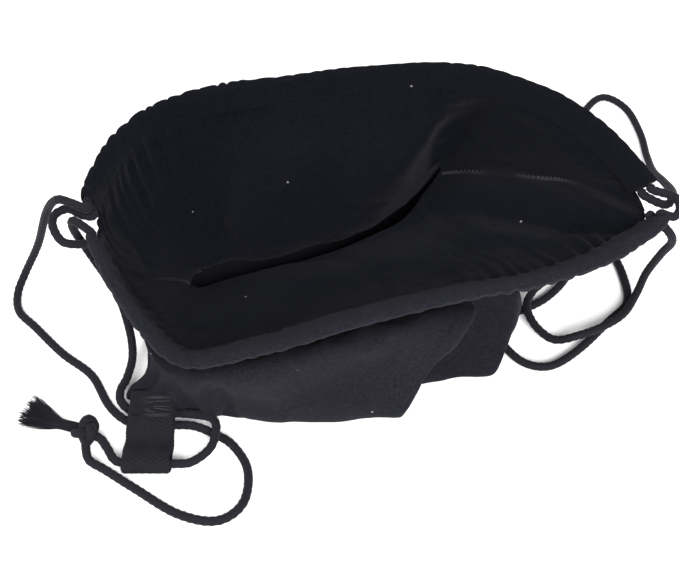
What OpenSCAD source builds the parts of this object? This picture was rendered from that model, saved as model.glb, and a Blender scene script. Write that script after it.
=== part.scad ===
// Drawstring bag: sewn cloth body, two hem casings, two crossing cords, webbing corner loops.
// Millimetres. +Z up, +X to the right of the open mouth, -Y towards its low front lip.
// Origin on the resting plane, under the middle of the bag.

/* [Bag] */
// Width of the open mouth between its two side openings
mouth_w = 246; // [236:1:256]
// Height of the back lip above the resting plane
back_lip_h = 90; // [84:1:96]
// Thickness of a cloth panel
cloth_t = 1.2; // [1:0.1:1.6]

/* [Casing] */
// Height of a hem casing
casing_h = 12.6; // [12.4:0.1:14]
// Thickness of a hem casing across the lip
casing_w = 6.2; // [6.2:0.1:7]
// Wall of a hem casing
casing_wall = 0.65; // [0.5:0.05:0.65]
// How far the front casing flops outwards, as a slope
front_flare = 1.7; // [1.4:0.1:1.8]
// Distance from a side opening's centre to each casing's end
opening_half = 9; // [9:0.5:12]

/* [Cord] */
// Diameter of the drawstring cord
cord_d = 3.8; // [3.2:0.1:3.8]
// Size of a knot across
knot_d = 12; // [10:0.5:13]
// Length of a frayed cord end
tassel_l = 31; // [24:1:34]

/* [Webbing loop] */
// Width of the webbing
web_w = 20; // [18:0.5:22]
// Thickness of the webbing
web_t = 1.5; // [1.2:0.1:1.6]
// Length of a folded loop from the bag's corner
loop_l = 38; // [36:1:42]

/* [Part] */
// Sub-part to draw

/* [Hidden] */

cloth_color = [0.07, 0.07, 0.09];
casing_color = [0.08, 0.08, 0.10];
cord_color = [0.05, 0.05, 0.06];
web_color = [0.09, 0.09, 0.10];
thread_color = [0.16, 0.16, 0.18];

// The rim runs once round the mouth: left opening, back lip, right opening, front lip.
RIGHT = 8;
LEFT_AGAIN = 16;
drawn_mouth_w = 246;
drawn_lip_h = 90;
rim_points = [
    [-122, 8, 67], [-118, 33, 74], [-102, 57, 79], [-72, 71, 82],
    [-32, 76, 85], [10, 78, 89], [52, 74, 90], [94, 52, 84],
    [124, 11, 70], [106, -11, 65], [74, -23, 60], [36, -30, 56],
    [-4, -38, 50], [-44, -48, 44], [-80, -50, 40], [-106, -24, 53]
];
base_points = [
    [-93, -11, 0], [-89, 22, 0], [-74, 42, 0], [-46, 52, 0],
    [-14, 58, 0], [14, 59, 0], [34, 56, 0], [50, 50, 0],
    [68, 36, 0], [45, 6, 0], [52, -26, 0], [12, -49, 0],
    [-28, -52, 0], [-60, -49, 0], [-84, -44, 0], [-105, -42, 0]
];
rim_scale = [mouth_w / drawn_mouth_w, 1, back_lip_h / drawn_lip_h];
steps = 2;
gap = 0.4;
casing_sides = 12;
cord_sides = 8;
run_offset = 2.4;
upper = -run_offset;
lower = run_offset;
end_gap = 1;
thread_r = 0.6;
seam_r = 1.1;
left_tab_at = [-94, -42, 0];
left_tab_turn = -90;
right_tab_at = [61, 44, 0];
right_tab_turn = 50;
eye_r = cord_d / 2 + 0.6;
loop_r = eye_r + web_t;
sewn_l = 16;
sewn_t = 2 * web_t + 0.3;
bridge_h = cord_d + 0.8;

// Free strands, from the casing's end to the knot
left_strand_a_points = [
    [-127, 12.5, 67.5], [-134, 15, 67], [-142, 20, 54], [-153, 27, 26], [-163, 26, 7], [-166, 17, 2.2],
    [-163, 6, 2.2], [-154, -3, 2.2], [-139, -18, 2.2], [-124, -30, 2.2], [-114, -46, 2.2],
    [-105, -54, 2.2], [-94, -56.5, 2.2], [-84, -56, 2.2], [-76, -56.5, 2.2], [-68, -60, 2.2],
    [-59, -66, 2.2], [-52, -78, 2.2], [-53, -93, 2.2], [-63, -101, 2.2], [-79, -98, 2.2],
    [-97, -87, 2.2], [-111, -78, 2.4], [-118, -74, 3.4], [-120, -69, 4.6]
];
left_strand_b_points = [
    [-126, 6.5, 63], [-128, 8.5, 57], [-127, 10, 48], [-122, 8, 35], [-114, 2, 20], [-109, -9, 8], [-107, -20, 2.8],
    [-108, -31, 2.2], [-110, -38, 2.2], [-109, -44, 2.2], [-104, -48.5, 2.2], [-96, -49, 2.2],
    [-84, -50, 2.2], [-75, -51.5, 3.2], [-68, -55, 5.6], [-66, -61, 6.3], [-68, -69, 5], [-75, -75, 4.1],
    [-82, -76, 4.1], [-94, -76, 4.1], [-106, -75, 4.1], [-111, -69, 4.8], [-114, -65, 5.2]
];
right_strand_a_points = [
    [126, 17, 62], [133, 30, 56], [141, 62, 32], [147, 92, 10], [149, 112, 2.6], [149, 130, 2.2],
    [145, 150, 2.2], [135, 160, 2.2], [125, 153, 2.2], [114, 132, 2.2], [112, 104, 2.2],
    [114, 72, 2.2], [119, 45, 2.2], [122, 28, 2.2], [121, 12, 2.2], [110, 0, 2.2],
    [94, -16, 2.2], [80, -25, 2.2], [68, -23, 2.6], [59, -13, 4.4], [57, -4, 4.6], [62, 3, 3.6],
    [71, 7, 2.2], [84, 15, 2.2], [95, 28, 2.2], [101, 44, 2.2], [103, 62, 2.2], [101, 77, 3],
    [96, 86, 4.4]
];
right_strand_b_points = [
    [126, 6, 57], [130, 8, 48], [130, 14, 34], [128, 18, 16], [125, 14, 6.6], [117, 2, 6.4],
    [106, -6, 6.6], [94, -11, 6.4], [84, -11, 3.2], [77, -6, 4.4], [73, 1, 6.4], [73, 8, 6.6],
    [77, 16, 5.8], [83, 24, 3.4], [89, 38, 2.4], [94, 50, 3], [94, 58, 3.8], [90, 64, 4.1],
    [83, 70, 4.1], [75, 77, 4.1], [69, 83, 4.1], [71, 91, 4.4], [80, 92, 5]
];
left_turn_points = [[-122, 1, 54.5], [-130, -1.5, 58.5], [-135, 5, 61], [-135, 11, 62], [-130, 14.5, 62],
    [-124, 12, 61]];
right_turn_points = [[126, 6, 66], [129, 9, 67], [129, 14, 68], [126, 17, 68]];
left_knot_at = [-121, -61, 5.6];
right_knot_at = [89, 90, 5.6];
left_tassel_turn = 158;
right_tassel_turn = 110;
knot_squash = [1.1, 1.25, 0.88];

// Catmull-Rom value between b and c
function spline(a, b, c, d, t) =
    0.5 * (2 * b + (c - a) * t + (2 * a - 5 * b + 4 * c - d) * t * t
        + (3 * b - a - 3 * c + d) * t * t * t);

// Point at station s of a closed ring of hand-set points
function on_ring(points, s) =
    let (n = len(points), i = floor(s) + n, t = s - floor(s))
    spline(points[(i - 1) % n], points[i % n], points[(i + 1) % n], points[(i + 2) % n], t);

function unit(v) = v / norm(v);
function scaled(p, k) = [p.x * k.x, p.y * k.y, p.z * k.z];
function rim(s) = scaled(on_ring(rim_points, s), rim_scale);
function base(s) = on_ring(base_points, s);

// Waist of the slumped cloth, and the wall's direction just below the rim
function waist(s) =
    let (r = rim(s), b = base(s))
    [0.36 * r.x + 0.64 * b.x, 0.42 * r.y + 0.58 * b.y, 0.36 * r.z];
function along(s) = unit(rim(s + 0.05) - rim(s - 0.05));
function inward(s) = unit(cross(along(s), [0, 0, 1]));
function flop(s) = s > RIGHT && s < LEFT_AGAIN ? front_flare * sin(180 * (s - RIGHT) / RIGHT) : 0;
function down(s) = unit(unit(waist(s) - rim(s)) + inward(s) * flop(s));
function outward(s) = unit(cross(along(s), down(s)));
function casing_centre(s) = rim(s) + down(s) * casing_h / 2;
function under_casing(s) = rim(s) + down(s) * (casing_h + gap);

// Stations of a lip, from one opening to the other, stopping short of both
function end_trim(s) = opening_half / norm(rim(s + 0.5) - rim(s - 0.5));
function lip_stations(from, to) =
    let (a = from + end_trim(from), b = to - end_trim(to), n = (to - from) * steps)
    [for (i = [0:n]) a + (b - a) * i / n];

// Ring of points round one station: half height along the wall, half width across it
function oval(s, half_h, half_w, count, shift = 0) =
    [for (i = [0:count - 1]) let (a = 360 * i / count)
        casing_centre(s) + down(s) * (shift + half_h * cos(a)) + outward(s) * half_w * sin(a)];

// Triangles of a closed tube through equal rings
module tube(rings) {
    n = len(rings[0]);
    m = len(rings);
    side = [for (i = [0:m - 2], j = [0:n - 1]) let (k = (j + 1) % n)
        each [[i * n + j, i * n + k, (i + 1) * n + k], [i * n + j, (i + 1) * n + k, (i + 1) * n + j]]];
    first = [[for (j = [n - 1:-1:0]) j]];
    last = [[for (j = [0:n - 1]) (m - 1) * n + j]];
    polyhedron([for (r = rings) each r], concat(side, first, last), convexity = 6);
}

// Hollow tube, open at both ends
module sleeve(outer, inner) {
    n = len(outer[0]);
    m = len(outer);
    o = 0;
    c = n * m;
    end = (m - 1) * n;
    skin = [for (i = [0:m - 2], j = [0:n - 1]) let (k = (j + 1) % n)
        each [[i * n + j, i * n + k, (i + 1) * n + k], [i * n + j, (i + 1) * n + k, (i + 1) * n + j]]];
    lining = [for (f = skin) [c + f[2], c + f[1], c + f[0]]];
    rims = [for (j = [0:n - 1]) let (k = (j + 1) % n) each [
        [k, j, c + j], [k, c + j, c + k],
        [end + j, end + k, c + end + k], [end + j, c + end + k, c + end + j]]];
    polyhedron(concat([for (r = outer) each r], [for (r = inner) each r]),
        concat(skin, lining, rims), convexity = 8);
}

// Sheet with a thickness, from two equal grids of points
module slab(outer, inner) {
    n = len(outer[0]);
    m = len(outer);
    c = n * m;
    skin = [for (i = [0:m - 2], j = [0:n - 2])
        let (p = i * n + j, q = p + 1, r = p + n, s = r + 1)
        each [[p, r, s], [p, s, q]]];
    lining = [for (f = skin) [c + f[2], c + f[1], c + f[0]]];
    edge = concat([for (j = [0:n - 1]) j], [for (i = [1:m - 1]) i * n + n - 1],
        [for (j = [n - 2:-1:0]) (m - 1) * n + j], [for (i = [m - 2:-1:1]) i * n]);
    e = len(edge);
    border = [for (i = [0:e - 1]) let (a = edge[i], b = edge[(i + 1) % e])
        each [[a, b, c + b], [a, c + b, c + a]]];
    polyhedron(concat([for (r = outer) each r], [for (r = inner) each r]),
        concat(skin, lining, border), convexity = 8);
}

// Round cord through hand-set points, its sections carried along without twisting
function tangents(p) =
    [for (i = [0:len(p) - 1]) unit(p[min(i + 1, len(p) - 1)] - p[max(i - 1, 0)])];
function carried(t, i, side) =
    let (s = unit(side - t[i] * (side * t[i])))
    i == len(t) - 1 ? [s] : concat([s], carried(t, i + 1, s));
module cord(p, r = cord_d / 2, sides = cord_sides) {
    t = tangents(p);
    side = carried(t, 0, [0.3, 0.2, 1]);
    tube([for (i = [0:len(p) - 1])
        [for (j = [0:sides - 1]) let (a = -360 * j / sides)
            p[i] + r * (cos(a) * side[i] + sin(a) * cross(t[i], side[i]))]]);
}

// Cloth wall of one panel: down from its casing, over the slumped waist, and flat under the bag
function midline(from, to, k) = base(from) + (base(to) - base(from)) * k;
function wall_row(from, to, s) =
    let (k = (s - from) / (to - from), top = under_casing(s), w = waist(s), b = base(s),
        low = [0.12 * w.x + 0.88 * b.x, 0.12 * w.y + 0.88 * b.y, 0.25 * w.z])
    [top, w, low, b, midline(from, to, k)];
function lined(row) =
    let (c = [-14, 5, 0])
    [for (i = [0:len(row) - 1])
        let (d = c - row[i], flat = unit([d.x, d.y, 0]))
        i < 3 ? row[i] + flat * cloth_t
            : i == 3 ? row[i] + flat * cloth_t * 1.4 + [0, 0, cloth_t] : row[i] + [0, 0, cloth_t]];
module panel(from, to) {
    n = (to - from) * steps;
    rows = [for (i = [0:n]) wall_row(from, to, from + i / steps)];
    slab(rows, [for (r = rows) lined(r)]);
}

module casing(from, to) {
    s = lip_stations(from, to);
    sleeve([for (v = s) oval(v, casing_h / 2, casing_w / 2, casing_sides)],
        [for (v = s) oval(v, casing_h / 2 - casing_wall, casing_w / 2 - casing_wall, casing_sides)]);
}

// Cord inside a casing, in its upper or lower half
module run(from, to, shift) {
    tube([for (v = lip_stations(from, to)) oval(v, cord_d / 2, cord_d / 2, cord_sides, shift)]);
}

// Seam thread that stands just proud of the casing's lower edge, inside the mouth
module hem_stitch(from, to) {
    tube([for (v = lip_stations(from, to)) [for (i = [0:5])
        casing_centre(v) + down(v) * (casing_h * 0.36 + thread_r * cos(60 * i))
            - outward(v) * (casing_w * 0.4 + thread_r * sin(60 * i))]]);
}

// Overlocked edge of a side seam, standing inside the bag
function seam_route(s) =
    let (c = [-14, 5, 0])
    [for (k = [0.04, 0.2, 0.4, 0.6, 0.8, 0.93])
        let (row = lined(wall_row(s, s + RIGHT, s)),
            p = k < 0.5 ? row[0] + (row[1] - row[0]) * k * 2 : row[1] + (row[2] - row[1]) * (k - 0.5) * 2,
            d = c - p)
        p + unit([d.x, d.y, 0]) * seam_r * 0.7];
module side_seam(s) cord(seam_route(s), seam_r, 6);

// Folded webbing loop: sewn end raised over the cords, then flat, with an eye at its far end
module webbing_loop(at, turn) {
    eye_x = loop_l - loop_r;
    translate(at) rotate([90, 0, turn]) translate([0, 0, -web_w / 2]) linear_extrude(web_w)
        difference() {
            union() {
                translate([eye_x, loop_r]) circle(loop_r, $fn = 32);
                polygon([[0, bridge_h], [sewn_l, bridge_h], [sewn_l + 6, 0], [eye_x, 0],
                    [eye_x, 2 * loop_r], [eye_x - 2, 2 * loop_r - 0.2], [sewn_l + 7, sewn_t + 0.6],
                    [sewn_l, bridge_h + sewn_t], [0, bridge_h + sewn_t]]);
            }
            translate([eye_x, loop_r]) circle(eye_r, $fn = 32);
            polygon([[eye_x, loop_r - eye_r], [eye_x, loop_r + eye_r], [eye_x - 2, loop_r + eye_r - 0.2],
                [sewn_l + 9, web_t + 0.3], [sewn_l + 9, web_t]]);
        }
}

// Two bar tacks across the sewn end of a webbing loop
module bar_tacks(at, turn) {
    tack_w = 2;
    translate(at) rotate([0, 0, turn]) for (x = [4, sewn_l - 3])
        translate([x, -web_w / 2 + 1.5, bridge_h + sewn_t]) cube([tack_w, web_w - 3, thread_r]);
}

module knot(at) {
    translate(at) scale(knot_squash) sphere(knot_d / 2 - 0.4, $fn = 28);
}

// Frayed end: a flat fan that widens away from its knot and lies on the resting plane
module tassel(at, turn) {
    widths = [2.2, 3.4, 5.6, 8];
    heights = [2.2, 2.6, 2.6, 2];
    start = knot_d / 2 + 0.9;
    d = [cos(turn), sin(turn), 0];
    n = [-sin(turn), cos(turn), 0];
    tube([for (i = [0:3]) let (c = [at.x, at.y, 0] + d * (start + (tassel_l - start) * i / 3)
            + [0, 0, i == 0 ? at.z : heights[i] + 0.2])
        [for (j = [0:11]) c - n * widths[i] * cos(30 * j) + [0, 0, heights[i] * sin(30 * j)]]]);
}

// A free strand starts just outside the end of the run that it continues
function run_end(s, shift, clear) =
    let (toward = unit(rim(s > 0 && s < 4 || s > 8 && s < 12 ? s - 0.2 : s + 0.2) - rim(s)))
    casing_centre(s) + down(s) * shift + toward * clear;
left_back = lip_stations(0, RIGHT)[0];
right_back = lip_stations(0, RIGHT)[RIGHT * steps];
right_front = lip_stations(RIGHT, LEFT_AGAIN)[0];
left_front = lip_stations(RIGHT, LEFT_AGAIN)[RIGHT * steps];
module strand(s, shift, points) {
    cord(concat([run_end(s, shift, end_gap), run_end(s, shift, 3.5)], points));
}
module turn(s_from, s_to, shift, points) {
    cord(concat([run_end(s_from, shift, end_gap), run_end(s_from, shift, 3)], points,
        [run_end(s_to, shift, 3), run_end(s_to, shift, end_gap)]));
}

module front_panel() color(cloth_color) panel(RIGHT, LEFT_AGAIN);
module back_panel() color(cloth_color) panel(0, RIGHT);
module front_casing() color(casing_color) casing(RIGHT, LEFT_AGAIN);
module back_casing() color(casing_color) casing(0, RIGHT);
module front_hem_stitch() color(thread_color) hem_stitch(RIGHT, LEFT_AGAIN);
module back_hem_stitch() color(thread_color) hem_stitch(0, RIGHT);
module side_seam_left() color(thread_color) side_seam(0);
module side_seam_right() color(thread_color) side_seam(RIGHT);
module tab_left() color(web_color) webbing_loop(left_tab_at, left_tab_turn);
module tab_right() color(web_color) webbing_loop(right_tab_at, right_tab_turn);
module tab_stitch_left() color(thread_color) bar_tacks(left_tab_at, left_tab_turn);
module tab_stitch_right() color(thread_color) bar_tacks(right_tab_at, right_tab_turn);
module front_run_a() color(cord_color) run(RIGHT, LEFT_AGAIN, upper);
module front_run_b() color(cord_color) run(RIGHT, LEFT_AGAIN, lower);
module back_run_a() color(cord_color) run(0, RIGHT, upper);
module back_run_b() color(cord_color) run(0, RIGHT, lower);
module left_turn() color(cord_color) turn(left_front, left_back, lower, left_turn_points);
module right_turn() color(cord_color) turn(right_front, right_back, upper, right_turn_points);
module left_strand_a() color(cord_color) strand(left_back, upper, left_strand_a_points);
module left_strand_b() color(cord_color) strand(left_front, upper, left_strand_b_points);
module right_strand_a() color(cord_color) strand(right_back, lower, right_strand_a_points);
module right_strand_b() color(cord_color) strand(right_front, lower, right_strand_b_points);
module left_knot() color(cord_color) knot(left_knot_at);
module left_tassel() color(cord_color) tassel(left_knot_at, left_tassel_turn);
module right_knot() color(cord_color) knot(right_knot_at);
module right_tassel() color(cord_color) tassel(right_knot_at, right_tassel_turn);

front_panel();
back_panel();
front_casing();
back_casing();
front_hem_stitch();
back_hem_stitch();
side_seam_left();
side_seam_right();
tab_left();
tab_right();
tab_stitch_left();
tab_stitch_right();
front_run_a();
front_run_b();
back_run_a();
back_run_b();
left_turn();
right_turn();
left_strand_a();
left_strand_b();
right_strand_a();
right_strand_b();
left_knot();
left_tassel();
right_knot();
right_tassel();
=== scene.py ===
"""Looks for the drawstring bag: slumped black cloth, hem casings, braided cords, webbing loops."""

import math
import random

import bpy
import numpy as np
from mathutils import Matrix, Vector, noise


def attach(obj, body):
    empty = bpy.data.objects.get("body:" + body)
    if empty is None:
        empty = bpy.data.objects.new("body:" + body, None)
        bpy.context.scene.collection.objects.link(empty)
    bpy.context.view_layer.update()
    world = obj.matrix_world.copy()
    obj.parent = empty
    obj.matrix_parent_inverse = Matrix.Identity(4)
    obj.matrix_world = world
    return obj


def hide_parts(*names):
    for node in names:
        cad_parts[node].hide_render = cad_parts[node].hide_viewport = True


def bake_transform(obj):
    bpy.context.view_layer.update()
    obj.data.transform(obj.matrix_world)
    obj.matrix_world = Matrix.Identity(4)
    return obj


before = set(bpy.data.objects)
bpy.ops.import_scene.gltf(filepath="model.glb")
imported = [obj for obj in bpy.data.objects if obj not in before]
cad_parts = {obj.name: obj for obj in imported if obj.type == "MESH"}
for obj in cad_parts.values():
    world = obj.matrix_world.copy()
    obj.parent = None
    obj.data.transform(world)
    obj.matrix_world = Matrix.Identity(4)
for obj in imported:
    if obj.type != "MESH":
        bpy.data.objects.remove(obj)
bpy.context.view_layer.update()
MM = 0.001

# ---------------------------------------------------------------- camera

CAMERA_ELEVATION = math.radians(50.0)
CAMERA_DISTANCE = 0.460
CAMERA_TARGET = Vector((-0.014, -0.0025, 0.030))
CAMERA_LENS = 55.4

camera_data = bpy.data.cameras.new("camera")
camera_data.lens = CAMERA_LENS
camera_data.sensor_width = 36.0
camera_data.clip_start = 0.01
camera_data.dof.use_dof = False
camera = bpy.data.objects.new("camera", camera_data)
bpy.context.scene.collection.objects.link(camera)
forward = Vector((0.0, math.cos(CAMERA_ELEVATION), -math.sin(CAMERA_ELEVATION)))
camera.location = CAMERA_TARGET - forward * CAMERA_DISTANCE
camera.rotation_euler = (math.pi / 2 - CAMERA_ELEVATION, 0.0, 0.0)
bpy.context.scene.camera = camera

# ---------------------------------------------------------------- the rim, as the CAD part has it

CASING_H = 12.6
CORD_D = 3.8
OPENING_HALF = 9.0
FRONT_FLARE = 1.7
RUN_OFFSET = 2.4
END_GAP = 1.0
STRAND_CLEAR = 3.5
TURN_CLEAR = 3.0
RIGHT = 8
LEFT_AGAIN = 16

RIM = np.array([
    [-122, 8, 67], [-118, 33, 74], [-102, 57, 79], [-72, 71, 82],
    [-32, 76, 85], [10, 78, 89], [52, 74, 90], [94, 52, 84],
    [124, 11, 70], [106, -11, 65], [74, -23, 60], [36, -30, 56],
    [-4, -38, 50], [-44, -48, 44], [-80, -50, 40], [-106, -24, 53],
], dtype=float)
BASE = np.array([
    [-93, -11, 0], [-89, 22, 0], [-74, 42, 0], [-46, 52, 0],
    [-14, 58, 0], [14, 59, 0], [34, 56, 0], [50, 50, 0],
    [68, 36, 0], [45, 6, 0], [52, -26, 0], [12, -49, 0],
    [-28, -52, 0], [-60, -49, 0], [-84, -44, 0], [-105, -42, 0],
], dtype=float)


def unit(v):
    return v / np.linalg.norm(v)


def spline(a, b, c, d, t):
    return 0.5 * (2 * b + (c - a) * t + (2 * a - 5 * b + 4 * c - d) * t * t
                  + (3 * b - a - 3 * c + d) * t * t * t)


def on_ring(points, s):
    n = len(points)
    i = math.floor(s)
    return spline(points[(i - 1) % n], points[i % n], points[(i + 1) % n], points[(i + 2) % n], s - i)


def rim(s):
    return on_ring(RIM, s)


def along(s):
    return unit(rim(s + 0.05) - rim(s - 0.05))


def waist(s):
    r, b = rim(s), on_ring(BASE, s)
    return np.array([0.36 * r[0] + 0.64 * b[0], 0.42 * r[1] + 0.58 * b[1], 0.36 * r[2]])


def down(s):
    """Direction of the casing's height: it flops outwards along the front lip."""
    inward = unit(np.cross(along(s), [0, 0, 1]))
    s = s % 16
    flop = FRONT_FLARE * math.sin(math.pi * (s - RIGHT) / RIGHT) if s > RIGHT else 0.0
    return unit(unit(waist(s) - rim(s)) + inward * flop)


def outward(s):
    return unit(np.cross(along(s), down(s)))


def casing_centre(s):
    return rim(s) + down(s) * CASING_H / 2


def end_trim(s):
    return OPENING_HALF / np.linalg.norm(rim(s + 0.5) - rim(s - 0.5))


LIPS = {
    "front": (RIGHT + end_trim(RIGHT), LEFT_AGAIN - end_trim(LEFT_AGAIN)),
    "back": (end_trim(0), RIGHT - end_trim(RIGHT)),
}


def run_end(s, shift, clear):
    """A point on a cord's way out of its casing, this far past the casing's end."""
    step = -0.2 if 0 < s < 4 or 8 < s < 12 else 0.2
    return casing_centre(s) + down(s) * shift + unit(rim(s + step) - rim(s)) * clear


# ---------------------------------------------------------------- cords

UPPER, LOWER = -RUN_OFFSET, RUN_OFFSET
BACK_LEFT, BACK_RIGHT = LIPS["back"]
FRONT_RIGHT, FRONT_LEFT = LIPS["front"]

LEFT_STRAND_A = [
    [-127, 12.5, 67.5], [-134, 15, 67], [-142, 20, 54], [-153, 27, 26], [-163, 26, 7], [-166, 17, 2.2],
    [-163, 6, 2.2], [-154, -3, 2.2], [-139, -18, 2.2], [-124, -30, 2.2], [-114, -46, 2.2],
    [-105, -54, 2.2], [-94, -56.5, 2.2], [-84, -56, 2.2], [-76, -56.5, 2.2], [-68, -60, 2.2],
    [-59, -66, 2.2], [-52, -78, 2.2], [-53, -93, 2.2], [-63, -101, 2.2], [-79, -98, 2.2],
    [-97, -87, 2.2], [-111, -78, 2.4], [-118, -74, 3.4], [-120, -69, 4.6],
]
LEFT_STRAND_B = [
    [-126, 6.5, 63], [-128, 8.5, 57], [-127, 10, 48], [-122, 8, 35], [-114, 2, 20], [-109, -9, 8],
    [-107, -20, 2.8], [-108, -31, 2.2], [-110, -38, 2.2], [-109, -44, 2.2], [-104, -48.5, 2.2],
    [-96, -49, 2.2], [-84, -50, 2.2], [-75, -51.5, 3.2], [-68, -55, 5.6], [-66, -61, 6.3],
    [-68, -69, 5], [-75, -75, 4.1], [-82, -76, 4.1], [-94, -76, 4.1], [-106, -75, 4.1],
    [-111, -69, 4.8], [-114, -65, 5.2],
]
RIGHT_STRAND_A = [
    [126, 17, 62], [133, 30, 56], [141, 62, 32], [147, 92, 10], [149, 112, 2.6], [149, 130, 2.2],
    [145, 150, 2.2], [135, 160, 2.2], [125, 153, 2.2], [114, 132, 2.2], [112, 104, 2.2],
    [114, 72, 2.2], [119, 45, 2.2], [122, 28, 2.2], [121, 12, 2.2], [110, 0, 2.2],
    [94, -16, 2.2], [80, -25, 2.2], [68, -23, 2.6], [59, -13, 4.4], [57, -4, 4.6], [62, 3, 3.6],
    [71, 7, 2.2], [84, 15, 2.2], [95, 28, 2.2], [101, 44, 2.2], [103, 62, 2.2], [101, 77, 3],
    [96, 86, 4.4],
]
RIGHT_STRAND_B = [
    [126, 6, 57], [130, 8, 48], [130, 14, 34], [128, 18, 16], [125, 14, 6.6], [117, 2, 6.4],
    [106, -6, 6.6], [94, -11, 6.4], [84, -11, 3.2], [77, -6, 4.4], [73, 1, 6.4], [73, 8, 6.6],
    [77, 16, 5.8], [83, 24, 3.4], [89, 38, 2.4], [94, 50, 3], [94, 58, 3.8], [90, 64, 4.1],
    [83, 70, 4.1], [75, 77, 4.1], [69, 83, 4.1], [71, 91, 4.4], [80, 92, 5],
]
LEFT_TURN = [
    [-122, 1, 54.5], [-130, -1.5, 58.5], [-135, 5, 61], [-135, 11, 62], [-130, 14.5, 62], [-124, 12, 61],
]
RIGHT_TURN = [[126, 6, 66], [129, 9, 67], [129, 14, 68], [126, 17, 68]]
LEFT_KNOT = np.array([-121, -61, 5.6])
RIGHT_KNOT = np.array([89, 90, 5.6])
LEFT_TASSEL_TURN = math.radians(158)
RIGHT_TASSEL_TURN = math.radians(110)

# ---------------------------------------------------------------- mesh helpers

def mesh_object(name, verts, faces, uvs=None):
    """Mesh from points in millimetres, with optional UVs in metres for each vertex."""
    data = bpy.data.meshes.new(name)
    data.from_pydata([tuple(v * MM) for v in np.asarray(verts, dtype=float)], [], faces)
    if uvs is not None:
        layer = data.uv_layers.new(name="UVMap")
        for loop in data.loops:
            layer.data[loop.index].uv = uvs[loop.vertex_index]
    data.polygons.foreach_set("use_smooth", [True] * len(data.polygons))
    data.update()
    made = bpy.data.objects.new(name, data)
    bpy.context.scene.collection.objects.link(made)
    return made


def apply_modifiers(made):
    graph = bpy.context.evaluated_depsgraph_get()
    data = bpy.data.meshes.new_from_object(made.evaluated_get(graph))
    made.modifiers.clear()
    made.data = data
    return made


def solidify(made, thickness, offset):
    solid = made.modifiers.new("thickness", "SOLIDIFY")
    solid.thickness = thickness * MM
    solid.offset = offset


def thicken(made):
    """Rounds a one-layer cloth and gives it its thickness."""
    made.modifiers.new("round", "SUBSURF").levels = 1
    solidify(made, CLOTH_T, 0.0)
    return apply_modifiers(made)


def grid_faces(rows, columns, wrap=False):
    faces = []
    for i in range(rows - 1):
        for j in range(columns if wrap else columns - 1):
            k = (j + 1) % columns
            faces.append((i * columns + j, i * columns + k, (i + 1) * columns + k, (i + 1) * columns + j))
    return faces


def smooth_route(points, step):
    """Even points along one smooth curve through given ones."""
    points = np.asarray(points, dtype=float)
    padded = np.vstack([2 * points[0] - points[1], points, 2 * points[-1] - points[-2]])
    fine = [spline(*padded[i:i + 4], t) for i in range(len(points) - 1) for t in np.linspace(0, 1, 24)[:-1]]
    fine = np.array(fine + [points[-1]])
    gaps = np.r_[0, np.cumsum(np.linalg.norm(np.diff(fine, axis=0), axis=1))]
    count = max(4, int(gaps[-1] / step) + 1)
    even = np.linspace(0, gaps[-1], count)
    return np.stack([np.interp(even, gaps, fine[:, k]) for k in range(3)], axis=1), gaps[-1]


def carried_frames(path):
    """Tangent and two sides at each point, carried along without twisting."""
    tangents = np.gradient(path, axis=0)
    tangents /= np.linalg.norm(tangents, axis=1)[:, None]
    side = np.array([0.3, 0.2, 1.0])
    sides = []
    for t in tangents:
        side = unit(side - t * side.dot(t))
        sides.append(side)
    sides = np.array(sides)
    return tangents, sides, np.cross(tangents, sides)


def swept(path, sections):
    """Vertices of a closed section swept along a path: one section for all points, or one for each."""
    _, side, up = carried_frames(path)
    sections = np.broadcast_to(sections, (len(path),) + np.shape(sections)[-2:])
    return path[:, None] + sections[..., :1] * side[:, None] + sections[..., 1:] * up[:, None]


def capped(faces, rows, columns):
    """Closes both ends of a tube's faces."""
    faces.append(tuple(range(columns - 1, -1, -1)))
    faces.append(tuple((rows - 1) * columns + j for j in range(columns)))
    return faces


def round_section(sides, radius=1.0):
    turn = np.linspace(0, 2 * np.pi, sides, endpoint=False)
    return np.stack([np.cos(turn), np.sin(turn)], axis=1) * radius


def add_tube(verts, faces, path, section):
    """Adds a thin closed tube along a path to the vertices and faces of one mesh."""
    rows, sides = len(path), np.shape(section)[-2]
    first = len(verts)
    verts.extend(swept(path, section).reshape(-1, 3))
    tube = capped(grid_faces(rows, sides, wrap=True), rows, sides)
    faces.extend(tuple(first + i for i in face) for face in tube)


BRAID_SIDES = 24
BRAID_STEP = 0.55
BRAID_LAY = 6.0
BRAID_DEPTH = 0.08
BRAID_UV_ROUND = 0.012
THREAD_SIDES = 6


def braid_rings(path, radius):
    """Rings of a round braid: two sets of four yarns cross, and each shows as a slanted bump."""
    count = len(path)
    turn = np.linspace(0, 2 * np.pi, BRAID_SIDES, endpoint=False)[None]
    length = (np.arange(count) * BRAID_STEP)[:, None]
    one = 4 * turn + 2 * np.pi * length / (BRAID_LAY / 2)
    two = 4 * turn - 2 * np.pi * length / (BRAID_LAY / 2)
    over = np.abs(np.sin(one / 2)) * np.abs(np.sin(two / 2))
    r = radius * (1 - BRAID_DEPTH + 1.5 * BRAID_DEPTH * over)
    return swept(path, np.stack([r * np.cos(turn), r * np.sin(turn)], axis=-1))


def braided_cord(name, points):
    """A cord through given points: the object, its centre line and its length in millimetres."""
    path, length = smooth_route(points, BRAID_STEP)
    rings = braid_rings(path, CORD_D / 2)
    rows = len(path)
    faces = capped(grid_faces(rows, BRAID_SIDES, wrap=True), rows, BRAID_SIDES)
    uvs = [(j / BRAID_SIDES * BRAID_UV_ROUND, i * BRAID_STEP * MM)
           for i in range(rows) for j in range(BRAID_SIDES)]
    made = mesh_object(name, rings.reshape(-1, 3), faces, uvs)
    return made, path, length


# ---------------------------------------------------------------- materials

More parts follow.
